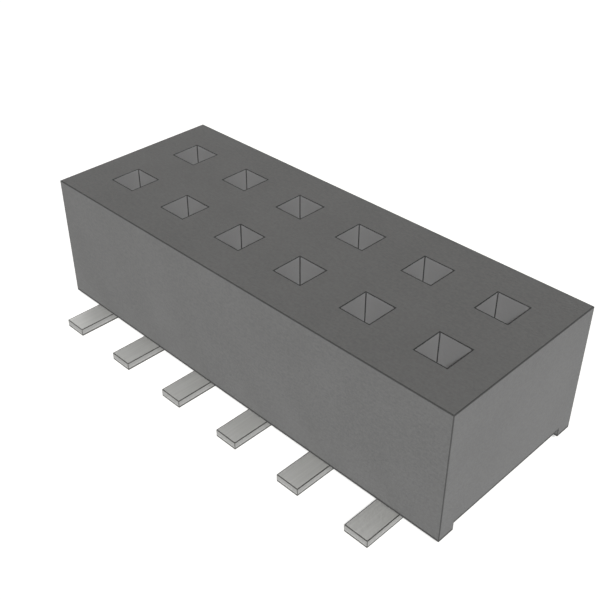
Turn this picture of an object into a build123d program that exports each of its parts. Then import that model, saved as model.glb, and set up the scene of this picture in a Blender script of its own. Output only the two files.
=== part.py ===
from build123d import *
import os

# A surface-mount socket strip with two rows of receptacles.
#
# The object is one moulded housing and a row of stamped spring contacts along each side. The housing
# is a plain block with square entries in its top face. Below each entry is a wider cavity, which opens
# into a shallow channel along the underside, between two foot rails. Each contact is one folded strip:
# a flat solder tail, a bend, an upright spine, a three-sided sleeve around the pin's place, and two
# spring beams that close on the pin from both sides. The contacts go in from below, and small barbs on
# the sleeve hold them. The rails stand on the tails.
#
# All sizes are millimetres. +X runs along the rows, +Y runs from the front row to the rear row and +Z
# is up. The origin is the centre of the footprint, on the board's surface.

# Grid of receptacles.
contacts_per_row = 6
pitch = 1.27
row_spacing = 1.27

# Housing, outside.
end_margin = 0.85
side_margin = 0.89
housing_height = 2.16
edge_radius = 0.008
rail_width = 0.30
rail_height = 0.127

# Housing, entries.
entry_size = 0.51
entry_depth = 0.58

# Strip that the contacts are stamped from, and its tail.
strip = 0.127
tail_width = 0.406
tail_reach = 0.635
bend_radius = 0.08

# Largest pin that the contact takes, and the room around it in the sleeve.
pin_size = 0.46
pin_clearance = 0.045

# Sleeve of the contact.
sleeve_lift = 0.20
sleeve_height = 0.42
sleeve_corner_radius = 0.05
barb_height = 0.03
barb_length = 0.14

# Spring beams.
beam_width = 0.36
beam_root_length = 0.08
beam_root_radius = 0.20
beam_apex_radius = 0.10
closed_gap = 0.34
mouth_opening = 0.56
mouth_height = 0.22

# Clearances between a contact and its cavity.
spine_clearance = 0.01
wing_clearance = 0.06
ceiling_clearance = 0.05

# Heights above the board.
rail_foot_z = strip
channel_roof_z = rail_foot_z + rail_height
top_z = rail_foot_z + housing_height
cavity_ceiling_z = top_z - entry_depth
sleeve_low_z = channel_roof_z + sleeve_lift
sleeve_high_z = sleeve_low_z + sleeve_height
beam_tip_z = cavity_ceiling_z - ceiling_clearance
beam_apex_z = beam_tip_z - mouth_height

# Plan sizes of the housing.
body_length = (contacts_per_row - 1) * pitch + 2 * end_margin
body_width = row_spacing + 2 * side_margin
channel_width = body_width - 2 * rail_width

# Plan sizes of a contact, from the pin's axis outwards.
sleeve_inside = pin_size / 2 + pin_clearance
sleeve_outside = sleeve_inside + strip
metal_middle = sleeve_inside + strip / 2
wing_end = pin_size / 2
tail_end = side_margin + tail_reach

# Plan sizes of a cavity, from the same axis.
cavity_half_width = sleeve_outside + barb_height
cavity_outer_side = sleeve_outside + spine_clearance
cavity_inner_side = wing_end + wing_clearance


def block(x_range, y_range, z_range):
    """A box between two places on each axis."""
    size = [high - low for low, high in (x_range, y_range, z_range)]
    middle = [(high + low) / 2 for low, high in (x_range, y_range, z_range)]
    return Pos(*middle) * Box(*size)


def folded(points, radii, plane, width):
    """A strip of metal that follows a centreline drawn in a plane.

    The centreline's corners are rounded by the radii. The metal is one strip thick across the line,
    and it is as wide as the width, half to each side of the plane.
    """
    centreline = FilletPolyline(*points, radius=radii)
    section = trace(centreline, strip)
    return extrude(plane * section, amount=width / 2, both=True)


def receptacle_places():
    """Each pin's place as (row name, number, x, y, turn), with the rear contacts turned half round."""
    first_x = -(contacts_per_row - 1) * pitch / 2
    places = []
    for row, side, turn in (("front", -1, 0), ("rear", 1, 180)):
        for index in range(contacts_per_row):
            x = first_x + index * pitch
            places.append((row, index + 1, x, side * row_spacing / 2, turn))
    return places


def make_spine():
    """Tail, bend and spine: one strip in the YZ plane, with the tail towards -Y."""
    tail_tip = (-tail_end, strip / 2)
    bend_corner = (-metal_middle, strip / 2)
    spine_top = (-metal_middle, sleeve_high_z)
    return folded([tail_tip, bend_corner, spine_top], [bend_radius + strip / 2], Plane.YZ, tail_width)


def make_sleeve():
    """A U in plan: the spine's upper part, with a wing folded forward from each of its edges."""
    wing_tip = (metal_middle, wing_end)
    corner = (metal_middle, -metal_middle)
    path = [(-wing_tip[0], wing_tip[1]), (-corner[0], corner[1]), corner, wing_tip]
    radius = sleeve_corner_radius + strip / 2
    sleeve = folded(path, [radius, radius], Plane.XY, sleeve_height)
    return Pos(0, 0, (sleeve_low_z + sleeve_high_z) / 2) * sleeve


def make_beam():
    """The +X beam: it rises from its wing, leans in to the apex and flares out to the mouth."""
    path = [
        (metal_middle, sleeve_high_z - strip),
        (metal_middle, sleeve_high_z + beam_root_length),
        (closed_gap / 2 + strip / 2, beam_apex_z),
        (mouth_opening / 2 + strip / 2, beam_tip_z - strip / 2),
    ]
    return folded(path, [beam_root_radius, beam_apex_radius], Plane.XZ, beam_width)


def make_barb():
    """The +X barb: a wedge on the wing's outer face, which stands out furthest towards the board."""
    root_x = sleeve_outside - strip / 2
    low_z = (sleeve_low_z + sleeve_high_z - barb_length) / 2
    high_z = low_z + barb_length
    outline = Polyline(
        (root_x, low_z),
        (sleeve_outside + barb_height, low_z),
        (sleeve_outside, high_z),
        (root_x, high_z),
        close=True,
    )
    return extrude(Plane.XZ * make_face(outline), amount=beam_width / 4, both=True)


def make_contact():
    """One spring contact, with its pin's axis at the origin and its tail towards -Y."""
    one_side = make_beam() + make_barb()
    return make_spine() + make_sleeve() + one_side + mirror(one_side, about=Plane.YZ)


def make_receptacle():
    """The space that is cut for one contact and its pin: the square entry and the cavity below it."""
    half_entry = entry_size / 2
    entry = block(
        (-half_entry, half_entry),
        (-half_entry, half_entry),
        (cavity_ceiling_z, top_z),
    )
    cavity = block(
        (-cavity_half_width, cavity_half_width),
        (-cavity_outer_side, cavity_inner_side),
        (channel_roof_z, cavity_ceiling_z),
    )
    return entry + cavity


def make_housing():
    """The moulding: block, foot rails, square entries and contact cavities."""
    half_length = body_length / 2
    half_width = body_width / 2
    half_channel = channel_width / 2
    body = block((-half_length, half_length), (-half_width, half_width), (rail_foot_z, top_z))
    rounded = body.edges().filter_by(Axis.Z) + body.faces().sort_by(Axis.Z)[-1].edges()
    body = fillet(rounded, edge_radius)
    body -= block(
        (-half_length, half_length),
        (-half_channel, half_channel),
        (rail_foot_z, channel_roof_z),
    )
    receptacle = make_receptacle()
    for _, _, x, y, turn in receptacle_places():
        body -= Pos(x, y, 0) * Rot(0, 0, turn) * receptacle
    return body


os.makedirs("parts", exist_ok=True)
export_step(make_housing(), "parts/housing.step")
contact = make_contact()
for row, number, x, y, turn in receptacle_places():
    placed = Pos(x, y, 0) * Rot(0, 0, turn) * contact
    export_step(placed, f"parts/{row}_contact_{number}.step")
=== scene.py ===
"""Looks of a surface-mount socket strip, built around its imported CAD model.

A moulded housing with two rows of square entries stands on the flat solder tails of its stamped
contacts. Every mesh is made in millimetres, in the CAD's own frame, and is turned to metres when it
is finished: +X runs along the rows, +Y from the front row to the rear row and +Z up from the board.
"""

import logging
import math
from dataclasses import dataclass, field
from enum import Enum
from typing import Iterable, Mapping, Sequence

import bmesh
import bpy
from mathutils import Matrix, Vector


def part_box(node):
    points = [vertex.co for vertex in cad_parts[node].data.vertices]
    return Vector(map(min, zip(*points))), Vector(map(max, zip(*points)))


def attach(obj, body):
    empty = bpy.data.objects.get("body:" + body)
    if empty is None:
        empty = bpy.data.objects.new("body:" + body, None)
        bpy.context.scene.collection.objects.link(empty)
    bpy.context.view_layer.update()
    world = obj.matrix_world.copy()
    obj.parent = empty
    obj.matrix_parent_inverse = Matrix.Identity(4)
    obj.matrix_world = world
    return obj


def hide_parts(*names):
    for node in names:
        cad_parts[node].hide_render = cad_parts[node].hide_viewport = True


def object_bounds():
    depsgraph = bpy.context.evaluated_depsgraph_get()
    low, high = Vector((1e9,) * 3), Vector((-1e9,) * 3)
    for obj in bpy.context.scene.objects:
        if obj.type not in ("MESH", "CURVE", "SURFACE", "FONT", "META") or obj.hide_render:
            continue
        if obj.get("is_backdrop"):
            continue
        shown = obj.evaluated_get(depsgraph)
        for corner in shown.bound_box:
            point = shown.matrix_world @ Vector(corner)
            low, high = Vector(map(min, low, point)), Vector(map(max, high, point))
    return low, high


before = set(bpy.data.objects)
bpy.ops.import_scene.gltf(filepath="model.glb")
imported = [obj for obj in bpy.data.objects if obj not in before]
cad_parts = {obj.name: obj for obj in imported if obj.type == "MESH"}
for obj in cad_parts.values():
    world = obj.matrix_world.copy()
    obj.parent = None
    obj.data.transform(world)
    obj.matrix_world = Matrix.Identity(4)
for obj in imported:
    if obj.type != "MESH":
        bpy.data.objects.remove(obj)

log = logging.getLogger("socket_strip")

# Metres in a millimetre, and the part's one body.
MM = 0.001
BODY = "root"

# Colours of the light: plain, with a trace of a lamp's warmth, and with a trace of a window's blue.
WHITE = "#ffffff"
WARM = "#fffefa"
COOL = "#f9fbff"

# The sRGB curve, which is straight up to its knee and a power above it.
SRGB_KNEE = 0.04045
SRGB_SLOPE = 12.92
SRGB_OFFSET = 0.055
SRGB_POWER = 2.4

# A noise texture seldom leaves this range.
NOISE_LOW = 0.3
NOISE_HIGH = 0.7

# A mix node has sockets of the same names for each kind of value. These are the colours' numbers.
MIX_FIRST = 6
MIX_SECOND = 7
MIX_RESULT = 2

# Places in a mesh that are this close, in millimetres, count as one.
CLOSE = 1e-5

# A face looks along a direction if the cosine of the angle between them is above this.
FACING = 0.99

# The two ways along Z.
UP = 1
DOWN = -1

Rgba = tuple[float, float, float, float]


class Row(Enum):
    """A row of contacts, named by its side and numbered by the direction of its tails along Y."""

    FRONT = -1
    REAR = 1


class Slot(Enum):
    """A material slot of the record."""

    HOUSING = "housing"
    CONTACT = "contact"


def linear(hex_colour: str) -> Rgba:
    """Turn an sRGB hex colour into the linear colour that a shader takes.

    Args:
        hex_colour: Six hex digits after a hash.

    Returns:
        Linear red, green and blue, and an alpha of 1.
    """
    channels = [int(hex_colour[i : i + 2], 16) / 255 for i in (1, 3, 5)]
    red, green, blue = (
        c / SRGB_SLOPE if c <= SRGB_KNEE else ((c + SRGB_OFFSET) / (1 + SRGB_OFFSET)) ** SRGB_POWER
        for c in channels
    )
    return red, green, blue, 1.0


def per_metre(size_mm: float) -> float:
    """Scale at which a pattern's features come out this many millimetres across."""
    return 1.0 / (size_mm * MM)


def add_node(
    tree: bpy.types.NodeTree,
    kind: str,
    inputs: Mapping[str | int, object] | None = None,
    **settings: object,
) -> bpy.types.Node:
    """Add one shader node.

    Args:
        tree: The node tree that the node joins.
        kind: The node's type.
        inputs: A value, or an output to link, for each input that is set, by name or number.
        **settings: The node's own properties.

    Returns:
        The new node.
    """
    node = tree.nodes.new(kind)
    for name, value in settings.items():
        setattr(node, name, value)
    for name, value in (inputs or {}).items():
        if isinstance(value, bpy.types.NodeSocket):
            tree.links.new(value, node.inputs[name])
        else:
            node.inputs[name].default_value = value
    return node


def new_material(name: str) -> tuple[bpy.types.Material, bpy.types.NodeTree]:
    """Make a material with an empty node tree.

    Args:
        name: The material's name.

    Returns:
        The material and its tree.
    """
    material = bpy.data.materials.new(name)
    material.use_nodes = True
    material.node_tree.nodes.clear()
    return material, material.node_tree


def calculate(
    tree: bpy.types.NodeTree, operation: str, *values: float | bpy.types.NodeSocket
) -> bpy.types.NodeSocket:
    """Add a node that works out one number from others.

    Args:
        tree: The node tree that the node joins.
        operation: What the node does with the numbers.
        *values: The numbers in order, or outputs to link.

    Returns:
        The output with the answer.
    """
    return add_node(tree, "ShaderNodeMath", dict(enumerate(values)), operation=operation).outputs[0]


def mix_colours(
    tree: bpy.types.NodeTree,
    share: bpy.types.NodeSocket,
    first: Rgba | bpy.types.NodeSocket,
    second: Rgba | bpy.types.NodeSocket,
) -> bpy.types.NodeSocket:
    """Add a node that mixes two colours.

    Args:
        tree: The node tree that the node joins.
        share: How much there is of the second colour.
        first: The colour at a share of 0.
        second: The colour at a share of 1.

    Returns:
        The output with the mixed colour.
    """
    inputs = {0: share, MIX_FIRST: first, MIX_SECOND: second}
    return add_node(tree, "ShaderNodeMix", inputs, data_type="RGBA").outputs[MIX_RESULT]


@dataclass(frozen=True)
class MouldedPolymer:
    """Glass-filled liquid-crystal polymer, injection moulded against a spark-eroded mould.

    The eye sees an even dark grey with a fine sandy matt, faint streaks where the glass fibres lie
    along the flow, and slow clouds where the melt closed round the mould's pins. Thin dark lines
    are painted along the edges and round the entries' mouths, and the wells' inner corners and a
    band along the foot are painted dark as well, as painted shade. The entries' walls are painted
    paler, as painted light against the shade deep in them.
    """

    name: str = "moulded_glass_filled_polymer"
    pale: str = "#6a6a6a"
    deep: str = "#606060"
    # Painted light: the entries' walls are painted this paler grey, against the shade deep in them.
    painted_light_wall: str = "#99999b"
    # Painted dark lines along the edges, and painted shade in the wells' corners and along the foot.
    edge: str = "#202020"
    ior: float = 1.6
    shine: float = 0.25
    # The spark's craters are 0.02 to 0.04 mm across, and are drawn at their coarsest to show at all.
    grain_mm: float = 0.04
    grain_height_mm: float = 0.006
    # The fibres are 0.01 mm thick, and are drawn three times as thick, or they would not show.
    fibre_length_mm: float = 0.09
    fibre_width_mm: float = 0.03
    fibre_share: float = 0.5
    # The clouds are nearly as wide as the pins' pitch.
    cloud_mm: float = 1.1
    cloud_share: float = 0.35
    # How far the three patterns together swing from their middle before they reach pale or deep.
    swing: float = 0.2
    roughness_low: float = 0.68
    roughness_high: float = 0.84

    def build(self) -> bpy.types.Material:
        """Make the material.

        Returns:
            The material.
        """
        material, tree = new_material(self.name)
        place = add_node(tree, "ShaderNodeTexCoord").outputs["Object"]
        grain = add_node(
            tree,
            "ShaderNodeTexNoise",
            {"Vector": place, "Scale": per_metre(self.grain_mm), "Detail": 3.0, "Roughness": 0.6},
        )
        stretched = add_node(
            tree,
            "ShaderNodeMapping",
            {
                "Vector": place,
                "Scale": (
                    per_metre(self.fibre_length_mm),
                    per_metre(self.fibre_width_mm),
                    per_metre(self.fibre_width_mm),
                ),
            },
        )
        fibres = add_node(
            tree,
            "ShaderNodeTexNoise",
            {"Vector": stretched.outputs[0], "Scale": 1.0, "Detail": 2.0, "Distortion": 0.4},
        )
        clouds = add_node(
            tree,
            "ShaderNodeTexNoise",
            {"Vector": place, "Scale": per_metre(self.cloud_mm), "Detail": 2.0},
        )
        streaked = calculate(
            tree, "MULTIPLY_ADD", fibres.outputs[0], self.fibre_share, grain.outputs[0]
        )
        mottled = calculate(tree, "MULTIPLY_ADD", clouds.outputs[0], self.cloud_share, streaked)
        middle = (1 + self.fibre_share + self.cloud_share) / 2
        shade = add_node(
            tree,
            "ShaderNodeMapRange",
            {
                "Value": mottled,
                "From Min": middle * (1 - self.swing),
                "From Max": middle * (1 + self.swing),
            },
        )
        body = mix_colours(tree, shade.outputs[0], linear(self.deep), linear(self.pale))
        # Painted light: the entries' walls are painted paler than the body.
        painted_light_share = add_node(tree, "ShaderNodeAttribute", attribute_name="painted_light_share").outputs["Fac"]
        walls = mix_colours(tree, painted_light_share, body, linear(self.painted_light_wall))
        # Painted dark lines along the edges, and painted shade in the wells' corners and along the
        # foot.
        rounding = add_node(tree, "ShaderNodeAttribute", attribute_name="edge").outputs["Fac"]
        colour = mix_colours(tree, rounding, walls, linear(self.edge))
        roughness = add_node(
            tree,
            "ShaderNodeMapRange",
            {
                "Value": grain.outputs[0],
                "From Min": NOISE_LOW,
                "From Max": NOISE_HIGH,
                "To Min": self.roughness_low,
                "To Max": self.roughness_high,
            },
        )
        bump = add_node(
            tree,
            "ShaderNodeBump",
            {"Height": grain.outputs[0], "Strength": 1.0, "Distance": self.grain_height_mm * MM},
        )
        surface = add_node(
            tree,
            "ShaderNodeBsdfPrincipled",
            {
                "Base Color": colour,
                "Roughness": roughness.outputs[0],
                "IOR": self.ior,
                "Specular IOR Level": self.shine,
                "Normal": bump.outputs[0],
            },
        )
        add_node(tree, "ShaderNodeOutputMaterial", {"Surface": surface.outputs[0]})
        return material


@dataclass(frozen=True)
class TinnedBronze:
    """Phosphor bronze strip with a matt tin plating, stamped and folded.

    The eye sees a soft grey metal. Faint rolling lines run along the strip and the tin's crystals give
    it a satin bloom. A stamped side has a smooth band where the die cut and a duller one where the
    strip tore, and a dark band is painted along its foot, which on the tails is their painted shadow
    on the card. Thin dark lines are painted along the edges.
    """

    name: str = "matt_tin_plated_bronze"
    pale: str = "#d5d5d3"
    deep: str = "#c9c9c7"
    cut: str = "#acacab"
    torn: str = "#9e9e9d"
    # Painted dark lines along the edges, and the painted shadow band along a stamped side's foot.
    edge: str = "#60605e"
    # Rolling lines are near 0.01 mm wide and tin crystals near 0.005 mm, and both are drawn coarser,
    # or they would not show.
    line_mm: float = 0.03
    line_run_mm: float = 1.2
    crystal_mm: float = 0.025
    crystal_share: float = 0.5
    crystal_height_mm: float = 0.0003
    # Heights on a stamped side, as shares of the strip's thickness.
    rim: float = 0.02
    # A band painted dark next to the strip's lower face, which on the tails is their painted shadow on
    # the card.
    painted_foot_shadow: float = 0.26
    tear_start: float = 0.38
    tear_wander: float = 0.3
    tear_blur: float = 0.06
    roughness_low: float = 0.5
    roughness_high: float = 0.66

    def build(self) -> bpy.types.Material:
        """Make the material.

        Returns:
            The material.
        """
        material, tree = new_material(self.name)
        place = add_node(tree, "ShaderNodeTexCoord").outputs["Object"]
        stretched = add_node(
            tree,
            "ShaderNodeMapping",
            {
                "Vector": place,
                "Scale": (
                    per_metre(self.line_mm),
                    per_metre(self.line_run_mm),
                    per_metre(self.line_run_mm),
                ),
            },
        )
        lines = add_node(
            tree,
            "ShaderNodeTexNoise",
            {"Vector": stretched.outputs[0], "Scale": 1.0, "Detail": 2.0},
        )
        crystals = add_node(
            tree,
            "ShaderNodeTexNoise",
            {"Vector": place, "Scale": per_metre(self.crystal_mm), "Detail": 3.0},
        )
        mixed = calculate(
            tree, "MULTIPLY_ADD", crystals.outputs[0], self.crystal_share, lines.outputs[0]
        )
        shade = add_node(
            tree,
            "ShaderNodeMapRange",
            {
                "Value": mixed,
                "From Min": NOISE_LOW * (1 + self.crystal_share),
                "From Max": NOISE_HIGH * (1 + self.crystal_share),
            },
        )
        plated = mix_colours(tree, shade.outputs[0], linear(self.deep), linear(self.pale))
        through = add_node(tree, "ShaderNodeAttribute", attribute_name="through").outputs["Fac"]
        tear_line = add_node(
            tree,
            "ShaderNodeMapRange",
            {
                "Value": lines.outputs[0],
                "To Min": self.tear_start - self.tear_wander / 2,
                "To Max": self.tear_start + self.tear_wander / 2,
            },
        )
        past_tear = calculate(tree, "SUBTRACT", through, tear_line.outputs[0])
        torn = add_node(
            tree,
            "ShaderNodeMapRange",
            {"Value": past_tear, "From Min": 0.0, "From Max": self.tear_blur},
        )
        stamped = mix_colours(tree, torn.outputs[0], linear(self.cut), linear(self.torn))
        side = calculate(tree, "COMPARE", through, 1 / 2, 1 / 2 - self.rim)
        faces = mix_colours(tree, side, plated, stamped)
        # Painted shadow: a dark band next to the strip's lower face, where the tails lie on the card.
        painted_foot_shadow = calculate(tree, "COMPARE", through, self.painted_foot_shadow / 2, self.painted_foot_shadow / 2 - self.rim)
        rounding = add_node(tree, "ShaderNodeAttribute", attribute_name="edge").outputs["Fac"]
        # The painted dark lines and the painted shadow band both take the edge colour.
        painted_dark = calculate(tree, "MAXIMUM", rounding, painted_foot_shadow)
        colour = mix_colours(tree, painted_dark, faces, linear(self.edge))
        roughness = add_node(
            tree,
            "ShaderNodeMapRange",
            {
                "Value": crystals.outputs[0],
                "From Min": NOISE_LOW,
                "From Max": NOISE_HIGH,
                "To Min": self.roughness_low,
                "To Max": self.roughness_high,
            },
        )
        bump = add_node(
            tree,
            "ShaderNodeBump",
            {"Height": mixed, "Strength": 1.0, "Distance": self.crystal_height_mm * MM},
        )
        surface = add_node(
            tree,
            "ShaderNodeBsdfPrincipled",
            {
                "Base Color": colour,
                "Metallic": 1.0,
                "Roughness": roughness.outputs[0],
                "Normal": bump.outputs[0],
            },
        )
        add_node(tree, "ShaderNodeOutputMaterial", {"Surface": surface.outputs[0]})
        return material


@dataclass(frozen=True)
class WhiteSweep:
    """Matt white card under the object, which stays white in the picture and keeps the shadow.

    From below it is clear, to the eye and to the lamp there, so that the underside can be looked at.
    """

    name: str = "matt_white_card"
    card: str = "#e6e6e6"
    lift: float = 0.5

    def build(self) -> bpy.types.Material:
        """Make the material.

        Returns:
            The material.
        """
        material, tree = new_material(self.name)
        diffuse = add_node(tree, "ShaderNodeBsdfDiffuse", {"Color": linear(self.card)})
        seen = calculate(tree, "MULTIPLY", seen_ray(tree), self.lift)
        glow = add_node(tree, "ShaderNodeEmission", {"Strength": seen})
        both = add_node(tree, "ShaderNodeAddShader", {0: diffuse.outputs[0], 1: glow.outputs[0]})
        from_below = add_node(tree, "ShaderNodeNewGeometry").outputs["Backfacing"]
        shadow_ray = add_node(tree, "ShaderNodeLightPath").outputs["Is Shadow Ray"]
        through = calculate(tree, "MAXIMUM", from_below, shadow_ray)
        clear = add_node(tree, "ShaderNodeBsdfTransparent")
        sided = add_node(
            tree,
            "ShaderNodeMixShader",
            {0: through, 1: both.outputs[0], 2: clear.outputs[0]},
        )
        add_node(tree, "ShaderNodeOutputMaterial", {"Surface": sided.outputs[0]})
        return material


def seen_ray(tree: bpy.types.NodeTree) -> bpy.types.NodeSocket:
    """Say which rays show a background to the eye, directly or in gloss or glass.

    Args:
        tree: The tree that the nodes join.

    Returns:
        An output that is 1 on camera, glossy and transmission rays, and 0 on others.
    """
    path = add_node(tree, "ShaderNodeLightPath").outputs
    seen_or_gloss = calculate(tree, "MAXIMUM", path["Is Camera Ray"], path["Is Glossy Ray"])
    return calculate(tree, "MAXIMUM", seen_or_gloss, path["Is Transmission Ray"])


def corner_normal(
    loop: bmesh.types.BMLoop, sharp_turn: float = math.radians(50), same_size: float = 0.98
) -> Vector:
    """Work out how a corner of a face is shaded, so that flat faces look flat and bends look round.

    The largest faces at the corner decide, and faces beyond a sharp edge have no say.

    Args:
        loop: The corner.
        sharp_turn: Faces that turn by more than this, in radians, do not share their shading.
        same_size: Faces at least this share of the largest face decide with it.

    Returns:
        The normal that the corner is shaded with.
    """
    least = math.cos(sharp_turn)
    around = [f for f in loop.vert.link_faces if f.normal.dot(loop.face.normal) > least]
    largest = max(f.calc_area() for f in around)
    normals = (f.normal for f in around if f.calc_area() > same_size * largest)
    return sum(normals, Vector()).normalized()


def finish_piece(
    bm: bmesh.types.BMesh,
    name: str,
    material: bpy.types.Material,
    node: str,
) -> bpy.types.Object:
    """Turn a mesh made in millimetres into a finished piece that stands for a CAD node.

    Args:
        bm: The mesh, which is freed.
        name: The piece's name.
        material: Its finish.
        node: The CAD node that it replaces.

    Returns:
        The piece, at the origin, in metres.
    """
    for face in bm.faces:
        face.smooth = True
    bm.normal_update()
    shading = [corner_normal(loop) for face in bm.faces for loop in face.loops]
    mesh = bpy.data.meshes.new(name)
    bm.to_mesh(mesh)
    bm.free()
    mesh.transform(Matrix.Scale(MM, 4))
    mesh.normals_split_custom_set(shading)
    mesh.materials.append(material)
    piece = bpy.data.objects.new(name, mesh)
    bpy.context.collection.objects.link(piece)
    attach(piece, BODY)
    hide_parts(node)
    return piece


def faces_along(bm: bmesh.types.BMesh, axis: str) -> list[bmesh.types.BMFace]:
    """Find the flat faces that look along an axis, either way.

    Args:
        bm: The mesh.
        axis: The axis, X, Y or Z.

    Returns:
        The faces.
    """
    bm.normal_update()
    return [f for f in bm.faces if abs(f.normal["XYZ".index(axis)]) > FACING]


def face_near(
    bm: bmesh.types.BMesh, point: Sequence[float], normal: Sequence[float]
) -> bmesh.types.BMFace:
    """Find the face that looks one way and whose centre is nearest to a point.

    Args:
        bm: The mesh.
        point: A place in millimetres.
        normal: The way that the face looks.

    Returns:
        The face.
    """
    bm.normal_update()
    way = Vector(normal)
    faces = [f for f in bm.faces if f.normal.dot(way) > FACING]
    return min(faces, key=lambda f: (f.calc_center_median() - Vector(point)).length)


def score(
    bm: bmesh.types.BMesh, faces: Iterable[bmesh.types.BMFace], axis: str, place: float
) -> None:
    """Cut a line across flat faces at one place along an axis.

    Args:
        bm: The mesh.
        faces: The faces to cut.
        axis: The axis that the line crosses.
        place: Where on that axis, in millimetres.
    """
    geom = [part for face in faces for part in (face, *face.edges, *face.verts)]
    across = Vector([1.0 if axis == letter else 0.0 for letter in "XYZ"])
    bmesh.ops.bisect_plane(
        bm, geom=list(dict.fromkeys(geom)), dist=CLOSE, plane_co=across * place, plane_no=across
    )


def push(
    bm: bmesh.types.BMesh, face: bmesh.types.BMFace, way: Sequence[float]
) -> bmesh.types.BMFace:
    """Draw a solid out of a face in a straight run.

    Args:
        bm: The mesh.
        face: The face to draw out.
        way: How far, and which way.

    Returns:
        The face at the new end.
    """
    made = bmesh.ops.extrude_face_region(bm, geom=[face, *face.edges])["geom"]
    verts = [part for part in made if isinstance(part, bmesh.types.BMVert)]
    bmesh.ops.translate(bm, verts=verts, vec=way)
    return next(part for part in made if isinstance(part, bmesh.types.BMFace))


def round_over(
    bm: bmesh.types.BMesh,
    edges: Iterable[bmesh.types.BMEdge],
    radius: float,
    steps: int,
    shade: float,
) -> None:
    """Round edges off, and mark how dark the roundings are.

    Args:
        bm: The mesh, whose faces have the layer "edge".
        edges: The edges to round.
        radius: How far a rounding reaches from its edge.
        steps: Faces across a rounding.
        shade: How much of the finish's edge colour the roundings take, from 0 to 1.
    """
    edge = bm.faces.layers.float["edge"]
    rounded = bmesh.ops.bevel(
        bm,
        geom=list(dict.fromkeys(edges)),
        offset=radius,
        offset_type="OFFSET",
        segments=steps,
        profile=0.5,
        affect="EDGES",
        clamp_overlap=True,
        material=-1,
    )
    for face in rounded["faces"]:
        face[edge] = shade


def line_inside(
    bm: bmesh.types.BMesh, faces: list[bmesh.types.BMFace], width: float, shade: float
) -> None:
    """Mark a narrow dark line just inside the outline of flat faces.

    Args:
        bm: The mesh, whose faces have the layer "edge".
        faces: The flat faces.
        width: The line's width.
        shade: How much of the finish's edge colour the line takes, from 0 to 1.
    """
    edge = bm.faces.layers.float["edge"]
    rims = bmesh.ops.inset_region(
        bm, faces=faces, thickness=width, use_even_offset=True, use_boundary=True
    )
    for rim in rims["faces"]:
        rim[edge] = shade


@dataclass(frozen=True)
class Grid:
    """The square grid that the pins stand on."""

    pitch: float = 1.27
    row_spacing: float = 1.27
    per_row: int = 6

    def xs(self) -> list[float]:
        """Places of the pins along a row."""
        first = -(self.per_row - 1) * self.pitch / 2
        return [first + i * self.pitch for i in range(self.per_row)]

    def y(self, row: Row) -> float:
        """Place of a row across the strip."""
        return row.value * self.row_spacing / 2


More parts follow.
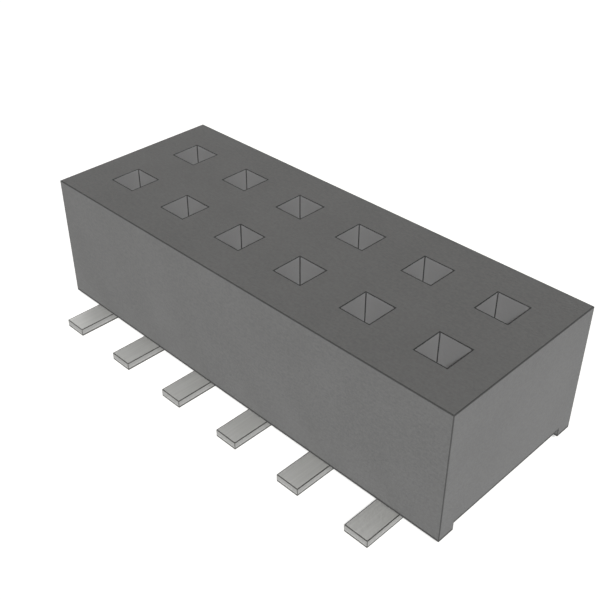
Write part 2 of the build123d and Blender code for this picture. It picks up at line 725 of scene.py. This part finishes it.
@dataclass
class Contact:
    """One folded spring contact, with its pin's axis at the origin and its tail towards -Y.

    Sizes are the CAD's, in millimetres, and the edges' roundings and lines are added to them. The
    layer "through" runs from 0 on the strip's lower face to 1 on its upper face, and the layer "edge"
    says where dark lines are painted along the edges.
    """

    grid: Grid
    material: bpy.types.Material
    strip: float = 0.127
    tail_width: float = 0.406
    tail_end: float = 1.525
    bend_radius: float = 0.08
    sleeve_inside: float = 0.275
    sleeve_corner_radius: float = 0.05
    sleeve_low: float = 0.454
    sleeve_high: float = 0.874
    wing_end: float = 0.23
    barb_height: float = 0.03
    barb_length: float = 0.14
    beam_width: float = 0.36
    beam_root_length: float = 0.08
    beam_root_radius: float = 0.20
    beam_apex_radius: float = 0.10
    closed_gap: float = 0.34
    mouth_opening: float = 0.56
    apex_z: float = 1.437
    tip_z: float = 1.657
    edge_rounding: float = 0.006
    edge_steps: int = 2
    edge_shade: float = 1.0
    sharp_turn: float = math.radians(40)
    # How wide the dark line is inside the strip's flat faces and inside its stamped sides.
    face_line: float = 0.008
    side_line: float = 0.003
    # Steps that a bend is drawn in.
    arc_steps: int = 10

    def build(self) -> list[bpy.types.Object]:
        """Make every contact, each in its place.

        Returns:
            The finished contacts, front row first.
        """
        pieces = []
        for row in Row:
            for number, x in enumerate(self.grid.xs(), start=1):
                bm = self.make()
                turn = Matrix.Rotation(math.pi if row is Row.REAR else 0.0, 4, "Z")
                place = Matrix.Translation((x, self.grid.y(row), 0.0)) @ turn
                bmesh.ops.transform(bm, matrix=place, verts=bm.verts)
                node = f"{row.name.lower()}_contact_{number}"
                pieces.append(finish_piece(bm, f"stamped_{node}", self.material, node))
        return pieces

    def make(self) -> bmesh.types.BMesh:
        """Make one contact, in its own frame.

        Returns:
            The mesh, in millimetres.
        """
        bm = bmesh.new()
        self.fold_tail_and_spine(bm)
        for side in (-1, 1):
            self.fold_wing(bm, side)
            self.raise_barb(bm, side)
            self.fold_beam(bm, side)
        self.round_edges(bm)
        return bm

    def turn(
        self,
        bm: bmesh.types.BMesh,
        face: bmesh.types.BMFace,
        centre: Sequence[float],
        axis: Sequence[float],
        angle: float,
    ) -> bmesh.types.BMFace:
        """Draw the strip out of a face round a bend.

        Args:
            bm: The mesh.
            face: The strip's end.
            centre: A point on the bend's axis.
            axis: The bend's axis.
            angle: How far it bends, in radians.

        Returns:
            The strip's new end.
        """
        made = bmesh.ops.spin(
            bm,
            geom=[face, *face.edges, *face.verts],
            cent=centre,
            axis=axis,
            angle=angle,
            steps=self.arc_steps,
        )["geom_last"]
        return next(part for part in made if isinstance(part, bmesh.types.BMFace))

    def fold_tail_and_spine(self, bm: bmesh.types.BMesh) -> None:
        """Make the tail, the bend and the spine up to the sleeve's top.

        Args:
            bm: The empty mesh.
        """
        through = bm.verts.layers.float.new("through")
        half = self.tail_width / 2
        corners = [(-half, 0.0), (half, 0.0), (half, self.strip), (-half, self.strip)]
        verts = [bm.verts.new((x, -self.tail_end, z)) for x, z in corners]
        for vert in verts:
            vert[through] = 1.0 if vert.co.z > 0 else 0.0
        start = bm.faces.new(verts)
        bend_y = -(self.sleeve_inside + self.strip + self.bend_radius)
        end = push(bm, start, (0.0, self.tail_end + bend_y, 0.0))
        bmesh.ops.recalc_face_normals(bm, faces=bm.faces)
        centre = (0.0, bend_y, self.strip + self.bend_radius)
        end = self.turn(bm, end, centre, (1.0, 0.0, 0.0), math.pi / 2)
        end = push(bm, end, (0.0, 0.0, self.sleeve_low - centre[2]))
        push(bm, end, (0.0, 0.0, self.sleeve_high - self.sleeve_low))

    def fold_wing(self, bm: bmesh.types.BMesh, side: int) -> None:
        """Fold a wing forward from one edge of the spine.

        Args:
            bm: The mesh.
            side: The side along X, -1 or 1.
        """
        middle = (self.sleeve_low + self.sleeve_high) / 2
        back = -(self.sleeve_inside + self.strip / 2)
        end = face_near(bm, (side * self.tail_width / 2, back, middle), (side, 0, 0))
        corner = self.sleeve_inside - self.sleeve_corner_radius
        end = push(bm, end, (side * (corner - self.tail_width / 2), 0.0, 0.0))
        end = self.turn(
            bm, end, (side * corner, -corner, middle), (0.0, 0.0, 1.0), side * math.pi / 2
        )
        half_beam = self.beam_width / 2
        for reach in (corner - half_beam, self.beam_width, self.wing_end - half_beam):
            end = push(bm, end, (0.0, reach, 0.0))

    def raise_barb(self, bm: bmesh.types.BMesh, side: int) -> None:
        """Raise the barb on a wing's outer face.

        Args:
            bm: The mesh.
            side: The side along X, -1 or 1.
        """
        outside = side * (self.sleeve_inside + self.strip)
        middle = (self.sleeve_low + self.sleeve_high) / 2
        place, way = (outside, 0.0, middle), (side, 0, 0)
        for cut in (-self.barb_length / 2, self.barb_length / 2):
            score(bm, [face_near(bm, place, way)], "Z", middle + cut)
        for cut in (-self.beam_width / 4, self.beam_width / 4):
            score(bm, [face_near(bm, place, way)], "Y", cut)
        top = push(bm, face_near(bm, place, way), (0.0, 0.0, 0.0))
        low = [v for v in top.verts if v.co.z < middle]
        bmesh.ops.translate(bm, verts=low, vec=(side * self.barb_height, 0.0, 0.0))
        bmesh.ops.remove_doubles(bm, verts=bm.verts, dist=CLOSE)

    def fold_beam(self, bm: bmesh.types.BMesh, side: int) -> None:
        """Fold a spring beam up from a wing, in to its apex and out to the mouth.

        Args:
            bm: The mesh.
            side: The side along X, -1 or 1.
        """
        wing_x = self.sleeve_inside + self.strip / 2
        apex_x = (self.closed_gap + self.strip) / 2
        tip_x = (self.mouth_opening + self.strip) / 2
        root = Vector((wing_x, 0.0, self.sleeve_high + self.beam_root_length))
        apex = Vector((apex_x, 0.0, self.apex_z))
        tip = Vector((tip_x, 0.0, self.tip_z - self.strip / 2))
        lean = math.atan2(root.x - apex.x, apex.z - root.z)
        flare = math.atan2(tip.x - apex.x, tip.z - apex.z)
        root_cut = self.beam_root_radius * math.tan(lean / 2)
        apex_cut = self.beam_apex_radius * math.tan((lean + flare) / 2)
        axis = (0.0, side, 0.0)
        end = face_near(bm, (side * wing_x, 0.0, self.sleeve_high), (0, 0, 1))
        end = push(bm, end, (0.0, 0.0, self.beam_root_length - root_cut))
        centre = (side * (wing_x - self.beam_root_radius), 0.0, root.z - root_cut)
        end = self.turn(bm, end, centre, axis, -lean)
        leaning = (apex - root).normalized()
        run = (apex - root).length - root_cut - apex_cut
        end = push(bm, end, (side * leaning.x * run, 0.0, leaning.z * run))
        outward = Vector((leaning.z, 0.0, -leaning.x))
        bend_start = apex - leaning * apex_cut
        bend_centre = bend_start + outward * self.beam_apex_radius
        centre = (side * bend_centre.x, 0.0, bend_centre.z)
        end = self.turn(bm, end, centre, axis, lean + flare)
        flaring = (tip - apex).normalized()
        run = (tip - apex).length - apex_cut
        push(bm, end, (side * flaring.x * run, 0.0, flaring.z * run))

    def round_edges(self, bm: bmesh.types.BMesh) -> None:
        """Take the sharpness off every folded or sheared edge, and paint the edges' dark lines.

        Args:
            bm: The whole contact.
        """
        edge = bm.faces.layers.float.new("edge")
        bmesh.ops.recalc_face_normals(bm, faces=bm.faces)
        sharp = [e for e in bm.edges if e.calc_face_angle(0.0) > self.sharp_turn]
        round_over(bm, sharp, self.edge_rounding, self.edge_steps, self.edge_shade)
        through = bm.verts.layers.float["through"]
        flat, sheared = [], []
        for face in bm.faces:
            if face[edge] == 0.0:
                depths = [vert[through] for vert in face.verts]
                crosses_strip = max(depths) - min(depths) > 1 / 2
                (sheared if crosses_strip else flat).append(face)
        line_inside(bm, flat, self.face_line, self.edge_shade)
        line_inside(bm, sheared, self.side_line, self.edge_shade)


@dataclass
class Housing:
    """The moulding: a block on two foot rails, with a receptacle under each square entry.

    Sizes are the CAD's, in millimetres, and the small roundings and the edges' lines are added to
    them. The layer "edge" says how dark a face is painted for being at an edge, in a well's corner
    or along the foot, and the other layer says how much paler a well's walls are painted, as painted
    light against the shade in them.
    """

    grid: Grid
    material: bpy.types.Material
    node: str = "housing"
    edge_radius: float = 0.008
    edge_steps: int = 4
    foot_rounding: float = 0.004
    foot_steps: int = 2
    rail_width: float = 0.30
    rail_height: float = 0.127
    entry_size: float = 0.51
    entry_depth: float = 0.58
    mouth_radius: float = 0.003
    mouth_rings: int = 3
    corner_radius: float = 0.012
    corner_steps: int = 2
    # How wide the painted dark line is inside each kind of face, along the foot, where it is
    # painted shade, and round a mouth.
    top_line: float = 0.010
    side_line: float = 0.004
    end_line: float = 0.006
    foot_line: float = 0.032
    mouth_line: float = 0.017
    # How much of the painted dark colour the edges and the foot, the mouths and the wells' inner
    # corners take. Along the foot and in the corners it is painted shade.
    edge_shade: float = 0.73
    mouth_shade: float = 1.0
    corner_shade: float = 0.9
    # How much paler the entries' walls are painted, as painted light against the shade in them.
    entry_painted_light: float = 1.0
    cavity_half_width: float = 0.432
    cavity_outer_side: float = 0.412
    cavity_inner_side: float = 0.29
    low: Vector = field(init=False)
    high: Vector = field(init=False)

    def __post_init__(self) -> None:
        """Read the moulding's box from the CAD, in millimetres."""
        low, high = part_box(self.node)
        self.low, self.high = Vector(low) / MM, Vector(high) / MM

    @property
    def roof(self) -> float:
        """Height of the channel's roof between the rails."""
        return self.low.z + self.rail_height

    @property
    def ceiling(self) -> float:
        """Height of the cavities' ceiling under the entries."""
        return self.high.z - self.entry_depth

    def build(self) -> bpy.types.Object:
        """Make the moulding.

        Returns:
            The finished moulding.
        """
        bm = self.make_shell()
        entries = self.sink_entries(bm)
        cavities = self.sink_cavities(bm)
        for entry, cavity in zip(entries, cavities):
            bmesh.ops.bridge_loops(bm, edges=entry + cavity)
        bmesh.ops.recalc_face_normals(bm, faces=bm.faces)
        return finish_piece(bm, "moulded_housing", self.material, self.node)

    def make_shell(self) -> bmesh.types.BMesh:
        """Draw the end profile out to the full length, then round and line the moulding's edges.

        Returns:
            The block, in millimetres, with no receptacles yet.
        """
        bm = bmesh.new()
        bm.faces.layers.float.new("edge")
        bm.faces.layers.float.new("painted_light_share")
        wide, channel = self.high.y, self.high.y - self.rail_width
        profile = [
            (-wide, self.low.z),
            (-channel, self.low.z),
            (-channel, self.roof),
            (channel, self.roof),
            (channel, self.low.z),
            (wide, self.low.z),
            (wide, self.high.z),
            (-wide, self.high.z),
        ]
        start = bm.faces.new([bm.verts.new((self.low.x, y, z)) for y, z in profile])
        push(bm, start, (self.high.x - self.low.x, 0.0, 0.0))
        bmesh.ops.recalc_face_normals(bm, faces=bm.faces)
        outer, feet = self.sort_edges(bm)
        round_over(bm, outer, self.edge_radius, self.edge_steps, self.edge_shade)
        feet = [e for e in feet if e.is_valid]
        round_over(bm, feet, self.foot_rounding, self.foot_steps, self.edge_shade)
        self.line_flats(bm)
        return bm

    def line_flats(self, bm: bmesh.types.BMesh) -> None:
        """Paint a dark line inside each flat face's edges, and painted shade along the foot.

        Args:
            bm: The mesh.
        """
        edge = bm.faces.layers.float["edge"]
        foot, arch = self.low.z + self.foot_line, self.roof + self.foot_line
        inner = self.high.y - self.rail_width + self.foot_rounding
        for axis, width, cuts in (
            ("Z", self.top_line, []),
            ("Y", self.side_line, [("Z", foot)]),
            ("X", self.end_line, [("Z", foot), ("Z", arch), ("Y", -inner), ("Y", inner)]),
        ):
            for across, place in cuts:
                score(bm, faces_along(bm, axis), across, place)
            flats = []
            for face in faces_along(bm, axis):
                centre = face.calc_center_median()
                over_channel = axis == "X" and abs(centre.y) < inner
                # Faces along the foot and just above the channel are painted dark all over, as painted
                # shade.
                if axis == "Z" or centre.z > (arch if over_channel else foot):
                    flats.append(face)
                else:
                    face[edge] = self.edge_shade
            line_inside(bm, flats, width, self.edge_shade)

    def sort_edges(
        self, bm: bmesh.types.BMesh
    ) -> tuple[list[bmesh.types.BMEdge], list[bmesh.types.BMEdge]]:
        """Sort the shell's edges by how round the mould leaves them.

        Args:
            bm: The mesh.

        Returns:
            The outer edges of the block, and the edges of the feet and the channel.
        """
        outer, feet = [], []
        for edge in bm.edges:
            a, b = (v.co for v in edge.verts)
            on_top = min(a.z, b.z) > self.high.z - CLOSE
            on_side = min(abs(a.y), abs(b.y)) > self.high.y - CLOSE
            upright = abs(a.z - b.z) > CLOSE
            (outer if on_top or (on_side and upright) else feet).append(edge)
        return outer, feet

    def sink(
        self,
        bm: bmesh.types.BMesh,
        start: tuple[float, float, float],
        way: int,
        radius: float,
        end_z: float,
        painted_light: float = 0.0,
    ) -> list[bmesh.types.BMEdge]:
        """Sink a well from a face, with a rounded mouth, rounded corners and no floor.

        Args:
            bm: The mesh.
            start: The middle of the face.
            way: The way that the face looks, UP or DOWN.
            radius: Rounding of the mouth.
            end_z: Height at which the well ends.
            painted_light: How much paler the walls are painted, as painted light, from 0 to 1.

        Returns:
            The edges round the well's open end.
        """
        edge = bm.faces.layers.float["edge"]
        painted_light_share = bm.faces.layers.float["painted_light_share"]
        face = face_near(bm, start, (0, 0, way))
        for side in bmesh.ops.inset_individual(
            bm, faces=[face], thickness=self.mouth_line, use_even_offset=True
        )["faces"]:
            side[edge] = self.mouth_shade
        corners = []
        for ring in range(self.mouth_rings):
            before, after = (math.pi / 2 * (ring + k) / self.mouth_rings for k in (0, 1))
            step_in = radius * (math.sin(after) - math.sin(before))
            step_down = radius * (math.cos(before) - math.cos(after))
            sides = bmesh.ops.inset_individual(
                bm, faces=[face], thickness=step_in, depth=-step_down, use_even_offset=True
            )["faces"]
            for side in sides:
                side[edge] = self.mouth_shade
            corners += [e for f in sides for e in f.edges if all(g in sides for g in e.link_faces)]
        face[edge] = 0.0
        floor = bmesh.ops.extrude_discrete_faces(bm, faces=[face])["faces"][0]
        bmesh.ops.translate(bm, verts=floor.verts, vec=(0, 0, end_z - floor.verts[0].co.z))
        corners += [e for v in floor.verts for e in v.link_edges if floor not in e.link_faces]
        # The well's walls are painted paler by this share, as painted light.
        for rim_edge in floor.edges:
            for wall in rim_edge.link_faces:
                wall[painted_light_share] = painted_light
        # The rounded inner corners are painted dark, as painted shade.
        round_over(bm, corners, self.corner_radius, self.corner_steps, self.corner_shade)
        floor = face_near(bm, (start[0], start[1], end_z), (0, 0, way))
        rim = list(floor.edges)
        bmesh.ops.delete(bm, geom=[floor], context="FACES_ONLY")
        return rim

    def sink_entries(self, bm: bmesh.types.BMesh) -> list[list[bmesh.types.BMEdge]]:
        """Sink the square entries from the top face down to the cavities' ceiling.

        Args:
            bm: The block.

        Returns:
            The edges round each entry's open end, front row first.
        """
        half = self.entry_size / 2 + self.mouth_radius + self.mouth_line
        self.score_field(bm, self.high.z, UP, (-half, half), {row: (-half, half) for row in Row})
        rims = []
        for row in Row:
            for x in self.grid.xs():
                mouth = (x, self.grid.y(row), self.high.z)
                rims.append(
                    self.sink(bm, mouth, UP, self.mouth_radius, self.ceiling, self.entry_painted_light)
                )
        return rims

    def sink_cavities(self, bm: bmesh.types.BMesh) -> list[list[bmesh.types.BMEdge]]:
        """Sink the contact cavities from the channel's roof up to their ceiling.

        Args:
            bm: The block.

        Returns:
            The edges round each cavity's open end, in the order of the entries.
        """
        radius = self.foot_rounding
        rim = radius + self.mouth_line
        half = self.cavity_half_width + rim
        sides = {}
        for row in Row:
            outer = row.value * (self.cavity_outer_side + rim)
            inner = -row.value * (self.cavity_inner_side + rim)
            sides[row] = (min(outer, inner), max(outer, inner))
        self.score_field(bm, self.roof, DOWN, (-half, half), sides)
        rims = []
        for row in Row:
            y = self.grid.y(row) + sum(sides[row]) / 2
            for x in self.grid.xs():
                rims.append(self.sink(bm, (x, y, self.roof), DOWN, radius, self.ceiling))
        return rims

    def score_field(
        self,
        bm: bmesh.types.BMesh,
        height: float,
        way: int,
        across_x: tuple[float, float],
        across_y: dict[Row, tuple[float, float]],
    ) -> None:
        """Score a flat face so that each receptacle's mouth is a face of its own.

        Args:
            bm: The mesh.
            height: The face's height.
            way: The way that it looks, UP or DOWN.
            across_x: A mouth's two sides along X, from the pin's axis.
            across_y: A mouth's two sides along Y, from the pin's axis, for each row.
        """
        cuts = [("X", x + side) for x in self.grid.xs() for side in across_x]
        cuts += [("Y", self.grid.y(row) + side) for row in Row for side in across_y[row]]
        for axis, place in cuts:
            bm.normal_update()
            faces = [
                f
                for f in bm.faces
                if f.normal.z * way > FACING and abs(f.calc_center_median().z - height) < CLOSE
            ]
            score(bm, faces, axis, place)


@dataclass(frozen=True)
class SoftLight:
    """One lamp, far away, so that its light falls evenly on the whole object.

    Angles are in degrees. Azimuth 0 is in front of the object and 90 is off its right end, and the
    spread is how wide the lamp looks from the object.
    """

    name: str
    azimuth: float
    elevation: float
    strength: float
    spread: float
    colour: str = WHITE

    def build(self) -> None:
        """Hang the lamp."""
        lamp = bpy.data.lights.new(self.name, "SUN")
        lamp.energy = self.strength
        lamp.color = linear(self.colour)[:3]
        lamp.angle = math.radians(self.spread)
        piece = bpy.data.objects.new(self.name, lamp)
        piece.rotation_euler = (math.radians(90 - self.elevation), 0.0, math.radians(self.azimuth))
        bpy.context.collection.objects.link(piece)


@dataclass
class Studio:
    """The white card, the lamps, the pale surroundings and the camera.

    The key lights every face that the photograph shows, and most of all the top. The windows are
    level with the object, so each lights only the upright faces on its own side. The lamp under the
    card lights the underside, and the near upright faces a little.
    """

    card: WhiteSweep = field(default_factory=WhiteSweep)
    card_half_width_mm: float = 400.0
    card_gap_mm: float = 0.002
    ambient: float = 0.12
    lamps: tuple[SoftLight, ...] = (
        SoftLight("key_softbox", azimuth=45.0, elevation=46.0, strength=2.68, spread=10.0, colour=WARM),
        SoftLight("low_window", azimuth=56.0, elevation=0.5, strength=1.62, spread=2.0, colour=COOL),
        SoftLight("rear_window", azimuth=185.0, elevation=0.5, strength=1.6, spread=2.0, colour=COOL),
        SoftLight("left_window", azimuth=265.0, elevation=0.5, strength=1.9, spread=2.0, colour=COOL),
        SoftLight("lamp_under_card", azimuth=45.0, elevation=-65.0, strength=1.15, spread=40.0),
    )
    camera_azimuth: float = 45.0
    camera_elevation: float = 35.264
    camera_distance_mm: float = 14.75
    lens_mm: float = 57.0
    sensor_mm: float = 36.0
    near_clip_mm: float = 0.5
    far_clip_mm: float = 2000.0

    def build(self) -> None:
        """Set the whole studio up."""
        self.lay_card()
        self.light_surroundings()
        for lamp in self.lamps:
            lamp.build()
        self.place_camera()

    def lay_card(self) -> None:
        """Lay the card that the object stands on."""
        bm = bmesh.new()
        bmesh.ops.create_grid(bm, x_segments=1, y_segments=1, size=self.card_half_width_mm * MM)
        bmesh.ops.translate(bm, verts=bm.verts, vec=(0.0, 0.0, -self.card_gap_mm * MM))
        mesh = bpy.data.meshes.new("white_card")
        bm.to_mesh(mesh)
        bm.free()
        mesh.materials.append(self.card.build())
        floor = bpy.data.objects.new("white_card", mesh)
        bpy.context.collection.objects.link(floor)
        floor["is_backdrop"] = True

    def light_surroundings(self) -> None:
        """Give the soft light that comes from all round, and the white that is seen there."""
        world = bpy.data.worlds.new("pale_surroundings")
        world.use_nodes = True
        tree = world.node_tree
        tree.nodes.clear()
        strength = add_node(
            tree,
            "ShaderNodeMapRange",
            {"Value": seen_ray(tree), "To Min": self.ambient, "To Max": 1.0},
        )
        sky = add_node(
            tree,
            "ShaderNodeBackground",
            {"Color": linear(WHITE), "Strength": strength.outputs[0]},
        )
        add_node(tree, "ShaderNodeOutputWorld", {"Surface": sky.outputs[0]})
        bpy.context.scene.world = world

    def place_camera(self) -> None:
        """Look at the middle of the object from the photograph's angle."""
        low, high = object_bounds()
        target = (low + high) / 2
        azimuth, elevation = math.radians(self.camera_azimuth), math.radians(self.camera_elevation)
        back = Vector(
            (
                math.sin(azimuth) * math.cos(elevation),
                -math.cos(azimuth) * math.cos(elevation),
                math.sin(elevation),
            )
        )
        lens = bpy.data.cameras.new("camera")
        lens.sensor_width = self.sensor_mm
        lens.lens = self.lens_mm
        lens.clip_start = self.near_clip_mm * MM
        lens.clip_end = self.far_clip_mm * MM
        camera = bpy.data.objects.new("camera", lens)
        camera.location = target + back * self.camera_distance_mm * MM
        camera.rotation_euler = (-back).to_track_quat("-Z", "Y").to_euler()
        bpy.context.collection.objects.link(camera)
        bpy.context.scene.camera = camera


def main() -> None:
    """Build the object and its studio, and report each piece."""
    logging.basicConfig(level=logging.INFO, format="%(name)s: %(message)s")
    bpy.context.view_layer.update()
    bpy.context.scene.view_settings.view_transform = "Standard"
    grid = Grid()
    housing = Housing(grid, MouldedPolymer().build())
    contacts = Contact(grid, TinnedBronze().build())
    for piece in [housing.build(), *contacts.build()]:
        log.info("%s: %d faces", piece.name, len(piece.data.polygons))
    Studio().build()


if __name__ == "__main__":
    main()
